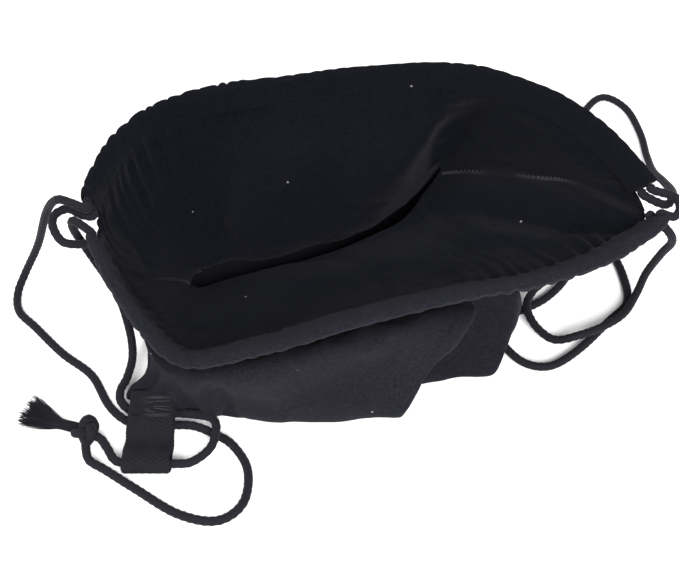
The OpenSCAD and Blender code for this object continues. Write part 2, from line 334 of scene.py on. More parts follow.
SPECULAR = 0.06
WEAVE_PITCH = 0.55
CLOTH_FUZZ = 0.028
LINT_COLOUR = (0.16, 0.15, 0.16)
LINT_SHARE = 0.07


def material(name, roughness):
    made = bpy.data.materials.new(name)
    made.use_nodes = True
    tree = made.node_tree
    shader = tree.nodes["Principled BSDF"]
    shader.inputs["Roughness"].default_value = roughness
    shader.inputs["Specular IOR Level"].default_value = SPECULAR
    return made, tree, shader


def node(tree, kind, **settings):
    made = tree.nodes.new(kind)
    for key, value in settings.items():
        setattr(made, key, value)
    return made


def link(tree, a, out, b, into):
    tree.links.new(a.outputs[out], b.inputs[into])


def mapped(tree, scale):
    """Texture coordinates times a scale."""
    coords = node(tree, "ShaderNodeTexCoord")
    mapping = node(tree, "ShaderNodeMapping")
    mapping.inputs["Scale"].default_value = scale
    link(tree, coords, "UV", mapping, "Vector")
    return mapping


def maths(tree, operation, a, b=None):
    """Output of a math node. Each operand is a number or another node's output."""
    made = node(tree, "ShaderNodeMath", operation=operation)
    for i, value in enumerate((a, b)):
        if value is None:
            continue
        if isinstance(value, (int, float)):
            made.inputs[i].default_value = value
        else:
            tree.links.new(value, made.inputs[i])
    return made.outputs[0]


MIX_COLOUR_A, MIX_COLOUR_B, MIX_COLOUR_OUT = 6, 7, 2


def mixed(tree, factor, a, b):
    """Output that goes from colour a to colour b. Each is a colour or another node's output."""
    made = node(tree, "ShaderNodeMix", data_type="RGBA")
    tree.links.new(factor, made.inputs[0])
    for socket, value in ((made.inputs[MIX_COLOUR_A], a), (made.inputs[MIX_COLOUR_B], b)):
        if isinstance(value, tuple):
            socket.default_value = (*value, 1.0)
        else:
            tree.links.new(value, socket)
    return made.outputs[MIX_COLOUR_OUT]


def bump(tree, shader, height, distance, strength, after=None):
    """Normals bumped by a height, on top of earlier ones, and given to the shader if there is one."""
    made = node(tree, "ShaderNodeBump")
    made.inputs["Strength"].default_value = strength
    made.inputs["Distance"].default_value = distance
    tree.links.new(height, made.inputs["Height"])
    if after is not None:
        tree.links.new(after, made.inputs["Normal"])
    if shader is not None:
        tree.links.new(made.outputs[0], shader.inputs["Normal"])
    return made.outputs[0]


def yarn_waves(tree, pitch_mm):
    """Plain weave: warp and weft ridges that pass over each other."""
    uv = mapped(tree, (1000.0 / pitch_mm, 1000.0 / pitch_mm, 1.0))
    split = node(tree, "ShaderNodeSeparateXYZ")
    link(tree, uv, "Vector", split, "Vector")
    warp = maths(tree, "SINE", maths(tree, "MULTIPLY", split.outputs[0], 2 * math.pi))
    weft = maths(tree, "SINE", maths(tree, "MULTIPLY", split.outputs[1], 2 * math.pi))
    return maths(tree, "MULTIPLY", warp, weft)


def grain(tree, scale, detail):
    made = node(tree, "ShaderNodeTexNoise")
    made.inputs["Scale"].default_value = scale
    made.inputs["Detail"].default_value = detail
    coords = node(tree, "ShaderNodeTexCoord")
    link(tree, coords, "Object", made, "Vector")
    return made.outputs["Fac"]


def lint(tree, scale, size):
    """Sparse pale specks of lint."""
    cells = node(tree, "ShaderNodeTexVoronoi")
    cells.inputs["Scale"].default_value = scale
    coords = node(tree, "ShaderNodeTexCoord")
    link(tree, coords, "Object", cells, "Vector")
    near = maths(tree, "LESS_THAN", cells.outputs["Distance"], size)
    split = node(tree, "ShaderNodeSeparateColor")
    tree.links.new(cells.outputs["Color"], split.inputs[0])
    chosen = maths(tree, "GREATER_THAN", split.outputs[0], 1 - LINT_SHARE)
    return maths(tree, "MULTIPLY", near, chosen)


def fuzz(shader, weight, tint, roughness=0.5):
    shader.inputs["Sheen Weight"].default_value = weight
    shader.inputs["Sheen Roughness"].default_value = roughness
    shader.inputs["Sheen Tint"].default_value = (*tint, 1.0)


def stretched(tree, value, low, high):
    """A value's range from low to high, stretched to 0 to 1."""
    made = node(tree, "ShaderNodeMapRange")
    made.inputs["From Min"].default_value = low
    made.inputs["From Max"].default_value = high
    tree.links.new(value, made.inputs["Value"])
    return made.outputs[0]


def cloth_material(name, dark, pale):
    """Black cotton: faded in a fine mottle, woven, fuzzy, with a few specks of lint."""
    made, tree, shader = material(name, 0.92)
    mottle = stretched(tree, grain(tree, 900.0, 5.0), 0.32, 0.72)
    broad = grain(tree, 28.0, 3.0)
    worn = maths(tree, "MULTIPLY", mottle, maths(tree, "ADD", broad, 0.35))
    body = mixed(tree, worn, dark, pale)
    specked = mixed(tree, lint(tree, 160.0, 0.09), body, LINT_COLOUR)
    tree.links.new(specked, shader.inputs["Base Color"])
    weave = bump(tree, None, yarn_waves(tree, WEAVE_PITCH), 0.00008, 0.8)
    bump(tree, shader, grain(tree, 1700.0, 2.0), 0.00012, 0.6, after=weave)
    fuzz(shader, CLOTH_FUZZ, (0.75, 0.75, 0.85))
    return made


def webbing_material():
    made, tree, shader = material("webbing", 0.75)
    fibre = grain(tree, 2600.0, 3.0)
    shade = mixed(tree, fibre, (0.003, 0.003, 0.004), (0.012, 0.012, 0.015))
    tree.links.new(shade, shader.inputs["Base Color"])
    bump(tree, shader, fibre, 0.0001, 0.7)
    fuzz(shader, 0.03, (0.8, 0.8, 0.9))
    return made


def cord_material():
    made, tree, shader = material("cord", 0.8)
    fibre = grain(tree, 2200.0, 4.0)
    shade = mixed(tree, fibre, (0.003, 0.003, 0.004), (0.014, 0.014, 0.018))
    tree.links.new(shade, shader.inputs["Base Color"])
    bump(tree, shader, fibre, 0.0002, 0.8)
    fuzz(shader, 0.07, (0.8, 0.8, 0.9), 0.4)
    return made


def thread_material(name, colour):
    """Sewing thread: bright in places and nearly lost in the cloth's lint elsewhere."""
    made, tree, shader = material(name, 0.6)
    dim = tuple(0.5 * c for c in colour)
    dark = tuple(0.15 * c for c in colour)
    shade = mixed(tree, grain(tree, 3000.0, 2.0), dim, colour)
    worn = stretched(tree, grain(tree, 45.0, 2.0), 0.42, 0.62)
    tree.links.new(mixed(tree, worn, dark, shade), shader.inputs["Base Color"])
    return made


# One black cotton in two copies. The first is several times darker: painted shade for the inside of the bag
# and the back casing. The second is the same cloth as it looks in the light, for the outside and the front
# casing.
CLOTH_PAINTED_SHADE = cloth_material("cloth", (0.0012, 0.0015, 0.0027), (0.0034, 0.0038, 0.0062))
CLOTH_LIT = cloth_material("cloth_lit", (0.0058, 0.0058, 0.0085), (0.0125, 0.0122, 0.0170))
CORD = cord_material()
WEBBING = webbing_material()
# Two shades of one thread. The paler one also serves as a painted highlight on the right side seam's
# overlock, and the darker one as painted shade on the left one.
THREAD = thread_material("thread", (0.016, 0.016, 0.020))
PALE_THREAD = thread_material("pale_thread", (0.050, 0.050, 0.060))


def finish_piece(made, look, replaced=()):
    """Gives a piece its material and slot, and hides the CAD nodes it stands for."""
    made.data.materials.clear()
    made.data.materials.append(look)
    if replaced:
        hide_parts(*replaced)
    return made


# ---------------------------------------------------------------- knots and frayed ends

KNOT_SCALE = np.array([1.35, 1.75, 1.55])
KNOT_CORD_R = 2.0
KNOT_POINTS = 160


def overhand_knot(name, at, turn):
    """Both cord ends tied together: a tight trefoil of braid, drawn flatter where it rests."""
    t = np.linspace(0, 2 * np.pi, KNOT_POINTS)
    trefoil = np.stack([
        np.sin(t) + 2 * np.sin(2 * t), np.cos(t) - 2 * np.cos(2 * t), -1.5 * np.sin(3 * t)], axis=1)
    trefoil *= KNOT_SCALE
    c, s = math.cos(turn), math.sin(turn)
    trefoil = trefoil @ np.array([[c, s, 0], [-s, c, 0], [0, 0, 1]])
    path, _ = smooth_route(trefoil + at, BRAID_STEP)
    rings = braid_rings(path, KNOT_CORD_R)
    rows = len(path)
    return mesh_object(name, rings.reshape(-1, 3), grid_faces(rows, BRAID_SIDES, wrap=True))


FRAY_COUNT = 420
FRAY_POINTS = 10
FRAY_SIDES = 4
FRAY_LENGTH = 31.0
FRAY_START = 3.0
FRAY_NECK = 0.42
FRAY_HALF = (2.3, 8.0)
FRAY_THICK = (1.9, 3.6)
FRAY_TIP = 0.55
FRAY_LOWEST = 0.4


def frayed_end(name, at, turn, seed):
    """Unravelled yarn: a narrow bundle behind the knot that opens into a dense, evenly cut brush."""
    rng = random.Random(seed)
    heading = np.array([math.cos(turn), math.sin(turn), 0.0])
    across = np.array([-math.sin(turn), math.cos(turn), 0.0])
    tapers = np.linspace(1.0, FRAY_TIP, FRAY_POINTS)[:, None, None]
    verts, faces = [], []
    for _ in range(FRAY_COUNT):
        angle, spread = rng.uniform(0, 2 * math.pi), math.sqrt(rng.random())
        reach = FRAY_LENGTH * rng.uniform(0.86, 1.0)
        radius = rng.uniform(0.16, 0.26)
        kink, bend = rng.uniform(0, 2 * math.pi), rng.gauss(0.0, 0.7)
        points = []
        for i in range(FRAY_POINTS):
            f = i / (FRAY_POINTS - 1)
            opened = max(0.0, f - FRAY_NECK) / (1 - FRAY_NECK)
            half = FRAY_HALF[0] + (FRAY_HALF[1] - FRAY_HALF[0]) * opened ** 0.9
            thick = FRAY_THICK[0] + (FRAY_THICK[1] - FRAY_THICK[0]) * opened
            side = half * spread * math.cos(angle) + bend * opened * math.sin(3.0 * f + kink)
            middle = at[2] + (thick + 0.5 - at[2]) * min(1.0, f * 1.8)
            high = middle + thick * spread * math.sin(angle) + 0.25 * math.sin(8 * f + kink)
            ahead = FRAY_START + (reach - FRAY_START) * f
            rise = np.array([0, 0, max(FRAY_LOWEST, high) - at[2]])
            points.append(at + heading * ahead + across * side + rise)
        add_tube(verts, faces, np.array(points), tapers * round_section(FRAY_SIDES)[None] * radius)
    return mesh_object(name, verts, faces)


# ---------------------------------------------------------------- the free cords, first of all

RIGHT_A_END_POINTS = 5
INTO_KNOT = 0.55
RUN_POINTS = 17
cords = {}
for cord_name, start, shift, points in (
    ("left_strand_a", BACK_LEFT, UPPER, LEFT_STRAND_A),
    ("left_strand_b", FRONT_LEFT, UPPER, LEFT_STRAND_B),
    ("right_strand_a", BACK_RIGHT, LOWER, RIGHT_STRAND_A),
    ("right_strand_b", FRONT_RIGHT, LOWER, RIGHT_STRAND_B),
):
    exits = [run_end(start, shift, END_GAP), run_end(start, shift, STRAND_CLEAR)]
    knot_at = LEFT_KNOT if cord_name.startswith("left") else RIGHT_KNOT
    into_knot = [(1 - INTO_KNOT) * np.array(points[-1]) + INTO_KNOT * knot_at]
    route = exits + points + into_knot
    if cord_name == "right_strand_a":
        # its last stretch is a piece of its own, because it is what the sliding knot pulls along
        cords["right_strand_a_end"] = braided_cord("right_strand_a_end_braid", route[-RIGHT_A_END_POINTS:])
        route = route[:1 - RIGHT_A_END_POINTS]
    cords[cord_name] = braided_cord(f"{cord_name}_braid", route)

for cord_name, ends, shift, points in (
    ("left_turn", (FRONT_LEFT, BACK_LEFT), LOWER, LEFT_TURN),
    ("right_turn", (FRONT_RIGHT, BACK_RIGHT), UPPER, RIGHT_TURN),
):
    first = [run_end(ends[0], shift, END_GAP), run_end(ends[0], shift, TURN_CLEAR)]
    last = [run_end(ends[1], shift, TURN_CLEAR), run_end(ends[1], shift, END_GAP)]
    cords[cord_name] = braided_cord(f"{cord_name}_braid", first + points + last)

for lip, (low, high) in LIPS.items():
    for letter, shift in (("a", UPPER), ("b", LOWER)):
        run_points = [casing_centre(s) + down(s) * shift for s in np.linspace(low, high, RUN_POINTS)]
        cords[f"{lip}_run_{letter}"] = braided_cord(f"{lip}_run_{letter}_braid", run_points)

for cord_name, (made, _, _) in cords.items():
    finish_piece(made, CORD, [] if cord_name == "right_strand_a_end" else [cord_name])

ENDS = {}
for side, at, turn, seed in (
    ("left", LEFT_KNOT, LEFT_TASSEL_TURN, 5), ("right", RIGHT_KNOT, RIGHT_TASSEL_TURN, 9),
):
    knot = overhand_knot(f"{side}_overhand_knot", at, turn)
    tassel = frayed_end(f"{side}_frayed_end", at, turn, seed)
    finish_piece(knot, CORD, [f"{side}_knot"])
    finish_piece(tassel, CORD, [f"{side}_tassel"])
    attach(knot, f"{side}_ends")
    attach(tassel, f"{side}_ends")
    ENDS[side] = [knot, tassel]

# ---------------------------------------------------------------- how each cord moves

# Each strand's last stretch, its knot's body, which way a bending band would lie and where it would start
# and end: only the strand's name is used, to bake its transform.
for cord_name, ends, heading, start, end in (
    ("left_strand_a", "left_ends", (-0.8, -0.6, 0.0), 0.128, 0.137),
    ("left_strand_b", "left_ends", (-0.9, -0.44, 0.0), 0.120, 0.131),
    ("right_strand_a_end", "right_ends", (0.0, 1.0, 0.0), 0.050, 0.078),
    ("right_strand_b", "right_ends", (0.0, 1.0, 0.0), 0.050, 0.078),
):
    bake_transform(cords[cord_name][0])
for cord_name in ("right_strand_a", "left_turn", "right_turn"):
    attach(cords[cord_name][0], "bag")
for lip in ("front", "back"):
    for letter in "ab":
        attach(cords[f"{lip}_run_{letter}"][0], f"{lip}_lip")

for cord_name, far_end, pieces in (
    ("left_strand_a", "knot", ENDS["left"]), ("left_strand_b", "knot", []),
    ("right_strand_a", "object", []), ("right_strand_a_end", "knot", ENDS["right"]),
    ("right_strand_b", "knot", []),
    ("left_turn", "object", []), ("right_turn", "object", []),
):
    made, path, length = cords[cord_name]

# ---------------------------------------------------------------- gathers along the rim

RING_STEPS = np.linspace(0, 16, 3201)
RING_POINTS = np.array([rim(s) for s in RING_STEPS])
RING_LENGTH = np.r_[0, np.cumsum(np.linalg.norm(np.diff(RING_POINTS, axis=0), axis=1))]
GATHER_PITCH = 7.0
# How strongly the rim is gathered, as (station, strength).
GATHER_STRENGTH = np.array([
    [0, 0.9], [0.3, 1.4], [3.0, 1.2], [4.2, 0.4], [8.6, 0.5], [9.4, 2.0], [10.6, 2.0], [11.0, 0.8],
    [12.2, 0.45], [13.0, 0.9], [15.8, 1.2], [16, 0.9],
])


def rim_length(s):
    return np.interp(s, RING_STEPS, RING_LENGTH)


def gather(s):
    """How strongly the drawn cord puckers the cloth at this place on the rim: out above 0, in below."""
    u = rim_length(s)
    wobble = 6.0 * noise.noise(Vector((u / 19.0, 4.2, 0.0))) + 2.6 * noise.noise(Vector((u / 6.0, 9.1, 0.0)))
    strength = np.interp(s % 16, GATHER_STRENGTH[:, 0], GATHER_STRENGTH[:, 1])
    bulge = abs(math.sin(math.pi * (u + wobble) / GATHER_PITCH)) ** 0.7
    size = 0.8 + 0.9 * noise.noise(Vector((u / 9.0, 1.7, 6.0)))
    return strength * size * (2 * bulge - 1.2)


# ---------------------------------------------------------------- the cloth body

# Each row is the cloth's line round the bag at one height, as (station, x, y, z) in millimetres.
SLOPE = [
    (0, -104, -1, 38), (1, -103, 21, 44), (2, -84, 37, 38), (3, -58, 44, 48), (4, -24, 50, 50),
    (5, 10, 51, 52), (5.6, 33, 67, 52), (6, 45, 67, 55), (7, 67, 58, 53), (8, 84, 44, 51), (9, 84, 20, 47),
    (10, 60, 8, 40), (11, 30, 0, 34), (12, -5, -5, 29), (13, -38, -12, 25), (14, -70, -20, 24),
    (15, -93, -16, 30),
]
VALLEY = [
    (0, -80, 13, 15), (1, -78, 19, 16), (2, -66, 24, 16), (3, -46, 28, 16), (4, -16, 35, 19),
    (5, 13, 47, 26), (5.6, 26, 59, 36), (6, 31, 62, 41), (7, 33, 62, 41), (8, 31, 60, 37), (9, 26, 55, 32),
    (10, 16, 45, 24), (11, 2, 39, 19.5), (12, -16, 32, 16), (13, -38, 25, 14), (14, -59, 20, 13),
    (15, -74, 15, 13.5),
]
OUTER_FOLD = [
    (0, -100, -8, 24), (1, -98, 23, 26), (2, -87, 46, 29), (3, -50, 56, 36), (4, -15, 62, 38),
    (5, 16, 70, 38), (6, 44, 77, 42), (7, 66, 64, 36), (8, 78, 38, 33), (9, 66, 4, 32),
    (10, 60, -18, 44), (10.4, 48, -11, 43), (10.58, 34, -17, 42), (10.7, 42, -28, 46), (11, 34, -27, 43),
    (12, -4, -35, 37), (13, -43, -45, 31), (14, -79, -46, 26), (15, -95, -32, 25),
]
OUTER_MIDDLE = [
    (0, -95, -8, 12), (1, -92, 22, 13), (2, -80, 43, 14), (3, -48, 56, 18), (4, -15, 63, 18),
    (5, 16, 66, 18), (6, 42, 70, 19), (7, 60, 56, 20), (8, 74, 36, 16), (9, 52, 4, 16),
    (10, 60, -22, 16), (10.4, 34, -10, 17), (10.58, 10, -30, 18), (10.7, 23, -43, 20), (11, 12, -45, 20),
    (12, -18, -46, 18), (13, -54, -50, 16), (14, -84, -46, 13), (15, -97, -32, 12),
]
OUTLINE = [
    (0, -90, -8, 1), (1, -88, 22, 1), (2, -74, 42, 1), (3, -46, 52, 1), (4, -14, 58, 1),
    (5, 14, 59, 1), (6, 34, 56, 1), (7, 50, 50, 1), (8, 68, 36, 1), (9, 46, 4, 1),
    (10, 53, -28.5, 1.5), (10.4, 27, -32, 1.2), (10.58, 2, -42, 1.2), (10.7, 12, -50, 1), (11, 0, -50, 1),
    (12, -28, -52, 1), (13, -58, -49, 1), (14, -84, -44, 1), (14.7, -104, -42, 1), (15, -105, -38, 1),
    (15.5, -94, -20, 1),
]
# Creases in the cloth: a line in millimetres, its half width, and how far it sinks (less than 0: a ridge).
INSIDE_FOLDS = [
    ([(-90, 30, 36), (-78, 44, 46), (-58, 66, 64)], 12.0, 4.0),
    ([(-74, 26, 22), (-68, 38, 33), (-62, 52, 50)], 5.0, 4.5),
    ([(-84, -22, 28), (-84, -34, 34)], 8.0, 3.0),
    ([(-40, 40, 34), (-30, 56, 54), (-24, 66, 70)], 14.0, -4.0),
    ([(35, 68, 52), (42, 71, 60), (52, 74, 70)], 7.0, 7.0),
    ([(4, 50, 44), (12, 55, 50), (26, 62, 60), (38, 69, 70)], 7.0, -3.5),
    ([(46, 62, 44), (66, 56, 48), (92, 36, 56), (112, 20, 64)], 3.6, 3.4),
    ([(36, 44, 34), (70, 26, 45), (112, 4, 62)], 6.0, 4.5),
    ([(44, 26, 34), (90, 6, 50)], 6.0, -2.6),
    ([(-60, 6, 20), (-20, 14, 24), (20, 22, 30)], 9.0, -2.2),
]
OUTSIDE_FOLDS = [
    ([(-66, -50, 24), (-60, -51, 2)], 4.0, 4.5),
    ([(-82, -47, 18), (-76, -48, 2)], 3.5, 3.5),
    ([(-46, -50, 24), (-20, -48, 4)], 7.0, -1.8),
    ([(0, -40, 34), (10, -46, 10)], 6.0, 1.6),
]
CLOTH_STEP = 1.3
TOWARDS_CAMERA = -np.array(forward)
CLOTH_T = 0.7
UNDERSIDE = 0.6
INNER_SHARE = 0.6
TUCK = 1.0
FLUSH = 1.1
UNDER_SAG = 12.0
UNDER_LEAST = 5.0
SEAM_GROOVE = 0.9
SEAM_STATIONS = 0.05
# Height and size of each layer of soft waves, and of sharp ones with their seed.
WAVES = [(2.6, 46.0), (1.4, 24.0), (0.5, 10.0)]
SHARP_WAVES = [(1.3, 34.0, 3.0), (0.5, 15.0, 8.0)]
PLEAT_PITCH = 19.0
PLEAT_HEIGHT = 1.2
GATHER_HEIGHT = 1.5
GATHER_REACH = 13.0
# Where these rows come in rows_at.
VALLEY_ROW, UNDER_ROW, FOLD_ROW, WALL_ROW, OUTLINE_ROW = 2, 3, 4, 5, 6
LOWEST = 0.55


def hermite(knots, values, at):
    """Smooth curve through values at uneven knots. values has one row for each knot."""
    knots = np.asarray(knots, dtype=float)
    slopes = np.empty_like(values)
    slopes[1:-1] = (values[2:] - values[:-2]) / (knots[2:] - knots[:-2])[:, None]
    slopes[0] = (values[1] - values[0]) / (knots[1] - knots[0])
    slopes[-1] = (values[-1] - values[-2]) / (knots[-1] - knots[-2])
    i = np.clip(np.searchsorted(knots, at, side="right") - 1, 0, len(knots) - 2)
    h = (knots[i + 1] - knots[i])[:, None]
    t = ((at - knots[i])[:, None]) / h
    return ((2 * t**3 - 3 * t**2 + 1) * values[i] + (t**3 - 2 * t**2 + t) * h * slopes[i]
            + (3 * t**2 - 2 * t**3) * values[i + 1] + (t**3 - t**2) * h * slopes[i + 1])


def ring_line(row, stations):
    """Points of a closed row at these stations."""
    row = np.array(row, dtype=float)
    before, after = row[-3:].copy(), row[:3].copy()
    before[:, 0] -= 16
    after[:, 0] += 16
    row = np.vstack([before, row, after])
    return hermite(row[:, 0], row[:, 1:], np.asarray(stations, dtype=float))


def rows_at(stations):
    """The cloth's nine guide rows at these stations: from the rim, over the inside, to the underside."""
    top = np.array([
        casing_centre(s) + down(s) * (CASING_H / 2 - TUCK) - outward(s) * FLUSH for s in stations])
    outline = ring_line(OUTLINE, stations)
    left, right = ring_line(OUTLINE, [0.0, RIGHT])
    share = np.abs(RIGHT - np.asarray(stations)) / RIGHT
    middle = right + (left - right) * share[:, None]
    inner = outline + (middle - outline) * INNER_SHARE
    inner[:, 2] = middle[:, 2] = UNDERSIDE
    slope, valley, fold, wall = (
        ring_line(row, stations) for row in (SLOPE, VALLEY, OUTER_FOLD, OUTER_MIDDLE))
    under = (valley + fold) / 2
    under[:, 2] = np.maximum(UNDER_LEAST, under[:, 2] - UNDER_SAG)
    return np.array([top, slope, valley, under, fold, wall, outline, inner, middle])


def ridged(p, size, seed):
    """Noise with sharp ridges, from 0 to 1."""
    value = noise.noise(Vector(p / size) + Vector((seed, -seed, 2 * seed)))
    return (1 - min(1.0, abs(value) * 2.2)) ** 2


def surface_normals(grid):
    """Normals of a grid whose first and last columns are the same line."""
    wide = np.concatenate([grid[:, -3:-1], grid, grid[:, 1:3]], axis=1)
    across = np.gradient(wide, axis=1)[:, 2:-2]
    normals = np.cross(across, np.gradient(grid, axis=0))
    return normals / np.maximum(np.linalg.norm(normals, axis=2), 1e-9)[..., None]


def fold_depth(grid, folds):
    """How far these creases sink each point of the cloth."""
    sunk = np.zeros(grid.shape[:2])
    for points, half, depth in folds:
        line, _ = smooth_route(points, 1.5)
        gap = np.full(grid.shape[:2], 1e9)
        for p in line:
            gap = np.minimum(gap, ((grid - p) ** 2).sum(axis=2))
        ends = np.minimum(
            np.linalg.norm(grid - line[0], axis=2), np.linalg.norm(grid - line[-1], axis=2)) / (2 * half)
        sunk += depth * np.exp(-gap / half**2) * np.clip(0.35 + ends, 0.0, 1.0)
    return sunk


def creases(grid, depth, stations, knots):
    """Distance each point moves along the normal: gathers below the casing, soft waves, low pleats."""
    moved = np.zeros(grid.shape[:2])
    gathers = np.array([gather(s) for s in stations])
    low_left = np.interp(stations, [12.9, 13.6, 15.3, 15.8], [0, 1, 1, 0])
    pleat = np.array([math.sin(2 * math.pi * rim_length(s) / PLEAT_PITCH) for s in stations])
    foot = knots[OUTLINE_ROW]
    for i, d in enumerate(depth):
        body = np.interp(d, [0, 10, foot - 3, foot + 6], [0, 1, 1, 0])
        low = np.interp(d, [knots[FOLD_ROW] + 6, knots[WALL_ROW], foot - 2, foot + 4], [0, 1, 0.9, 0])
        for j, p in enumerate(grid[i]):
            wave = sum(height * noise.noise(Vector(p / size)) for height, size in WAVES)
            crease = sum(height * ridged(p, size, seed) for height, size, seed in SHARP_WAVES)
            moved[i, j] = body * (wave + crease) + low * low_left[j] * PLEAT_HEIGHT * pleat[j]
        moved[i] += GATHER_HEIGHT * gathers * math.exp(-d / GATHER_REACH) * min(1.0, 0.55 + d / 8.0)
    return moved


def ring_stations():
    """Even stations round the rim, with one on each side seam."""
    halves = []
    for low, high in ((0, RIGHT), (RIGHT, LEFT_AGAIN)):
        count = int((rim_length(high) - rim_length(low)) / CLOTH_STEP)
        halves.append(np.linspace(low, high, count + 1))
    return np.r_[halves[0], halves[1][1:]], len(halves[0]) - 1


def whole_cloth():
    """The closed ring of cloth, from the casings over the inside, out under the rim and to the underside."""
    stations, seam = ring_stations()
    rows = rows_at(stations)
    knots = np.r_[0, np.cumsum(np.linalg.norm(np.diff(rows, axis=0), axis=2).mean(axis=1))]
    depth = np.linspace(0, knots[-1], int(knots[-1] / CLOTH_STEP) + 1)
    grid = hermite(knots, rows.reshape(len(rows), -1), depth).reshape(len(depth), len(stations), 3)
    normals = surface_normals(grid)
    away = -np.tanh(5.0 * (normals @ TOWARDS_CAMERA))
    to_seam = np.minimum(np.abs(stations - RIGHT), np.minimum(stations, LEFT_AGAIN - stations))
    near_seam = SEAM_GROOVE * np.exp(-(to_seam / SEAM_STATIONS) ** 2)
    inside = np.interp(depth, [knots[VALLEY_ROW] - 8, knots[VALLEY_ROW]], [1, 0])[:, None]
    outside = np.interp(depth, [knots[UNDER_ROW], knots[UNDER_ROW] + 8], [0, 1])[:, None]
    folds = inside * fold_depth(grid, INSIDE_FOLDS) + outside * fold_depth(grid, OUTSIDE_FOLDS)
    moved = creases(grid, depth, stations, knots) + away * (folds + near_seam)
    moved[:, -1] = moved[:, 0] = (moved[:, 0] + moved[:, -1]) / 2
    grid += normals * moved[..., None]
    grid[:, -1] = grid[:, 0]
    grid[..., 2] = np.maximum(grid[..., 2], LOWEST)
    return grid, knots, depth, stations, seam


def panel(name, grid, depth, stations, lit_from, cad):
    """One side of the bag: the darker copy of the cloth as painted shade inside, the lit copy from this
    depth on.
    """
    rows, columns = grid.shape[:2]
    uvs = [(rim_length(s) * MM, d * MM) for d in depth for s in stations]
    made = mesh_object(name, grid.reshape(-1, 3), grid_faces(rows, columns), uvs)
    made.data.materials.append(CLOTH_PAINTED_SHADE)
    made.data.materials.append(CLOTH_LIT)
    first_lit = int(np.searchsorted(depth, lit_from)) * (columns - 1)
    made.data.polygons.foreach_set(
        "material_index", [int(i >= first_lit) for i in range(len(made.data.polygons))])
    thicken(made)
    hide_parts(cad)
    return made


cloth, knots, depth, stations, seam = whole_cloth()
back_half, front_half = slice(0, seam + 1), slice(seam, None)
# Painted shade: up to the underside row, inside the bag, the cloth takes its darker copy.
back_cloth = panel(
    "back_cloth", cloth[:, back_half], depth, stations[back_half], knots[UNDER_ROW], "back_panel")
front_cloth = panel(
    "front_cloth", cloth[:, front_half], depth, stations[front_half], knots[UNDER_ROW], "front_panel")
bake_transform(front_cloth)
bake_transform(back_cloth)

# ---------------------------------------------------------------- casings

CASING_STEP = 0.9
CASING_T = 0.35
CASING_PUCKER = 0.55
SECTION_SIDES = 40
OUTER_UV_SHIFT = 20
# Half width of the sleeve's outer and inner face at these heights, from the rim's edge to the hem.
SECTION_LEVELS = [-6.3, -5.7, -4.2, -1.0, 3.4, 4.9, 6.3]
SECTION_OUTER = [0.0, 0.9, 2.0, 2.5, 2.1, 0.8, 0.6]
SECTION_INNER = [0.0, 0.9, 2.0, 2.4, 2.2, 1.7, 1.9]


def casing_section():
    """Half width of the sleeve at each height: flush with the cloth inside, stitched flat outside."""
    turn = np.linspace(0, 2 * np.pi, SECTION_SIDES, endpoint=False)
    height = -CASING_H / 2 * np.cos(turn)
    outer = np.interp(height, SECTION_LEVELS, SECTION_OUTER)
    inner = np.interp(height, SECTION_LEVELS, SECTION_INNER)
    return height, np.where(np.sin(turn) > 1e-6, outer, -inner)


def casing_cloth(name, low, high):
    """The turned-over hem: a hollow sleeve along the rim, puckered by the cords in it."""
    count = int((rim_length(high) - rim_length(low)) / CASING_STEP)
    height, width = casing_section()
    verts, uvs = [], []
    for s in np.linspace(low, high, count + 1):
        centre, d, o = casing_centre(s), down(s), outward(s)
        pull = gather(s)
        u = rim_length(s)
        sway = 0.6 * noise.noise(Vector((u / 22.0, 3.0, 5.0)))
        for h, w in zip(height, width):
            outer_face = w > 0
            rough = 0.4 * noise.noise(Vector((u / 5.0, h / 5.0, 1.0 if outer_face else 7.0)))
            swell = 1 + 0.12 * pull
            top = max(0.0, -h / (CASING_H / 2)) ** 2
            across = w * swell + CASING_PUCKER * pull * (0.5 + h / CASING_H) + rough * np.sign(w)
            verts.append(centre + d * (h - 0.6 * pull * top + sway * top) + o * across)
            uvs.append((u * MM, (h + (OUTER_UV_SHIFT if outer_face else 0)) * MM))
    faces = grid_faces(count + 1, SECTION_SIDES, wrap=True)
    made = mesh_object(name, np.array(verts), faces, uvs)
    solidify(made, CASING_T, -1.0)
    return apply_modifiers(made)


STITCH_PITCH = 3.0
STITCH_LENGTH = 2.1
STITCH_POINTS = 5
STITCH_R = 0.24
STITCH_LIFT = 0.8
STITCH_BULGE = 0.25
STITCH_ABOVE_HEM = 1.7
STITCH_PUCKER = 0.86
STITCH_START = {-1: 0.9, 1: 0.4}


def stitches(name, low, high):
    """Running stitch along the foot of a casing, on both faces."""
    verts, faces = [], []
    total = rim_length(high) - rim_length(low)
    shares = np.linspace(0, 1, STITCH_POINTS)
    for k in range(int(total / STITCH_PITCH)):
        for face, offset in STITCH_START.items():
            start = rim_length(low) + k * STITCH_PITCH + offset
            u = np.linspace(start, start + STITCH_LENGTH, STITCH_POINTS)
            line = []
            for f, s in zip(shares, np.interp(u, RING_LENGTH, RING_STEPS)):
                rise = STITCH_LIFT + STITCH_BULGE * math.sin(math.pi * f)
                across = face * rise + CASING_PUCKER * gather(s) * STITCH_PUCKER
                line.append(casing_centre(s) + down(s) * (CASING_H / 2 - STITCH_ABOVE_HEM)
                            + outward(s) * across)
            add_tube(verts, faces, np.array(line), round_section(THREAD_SIDES, STITCH_R))
    return mesh_object(name, verts, faces)


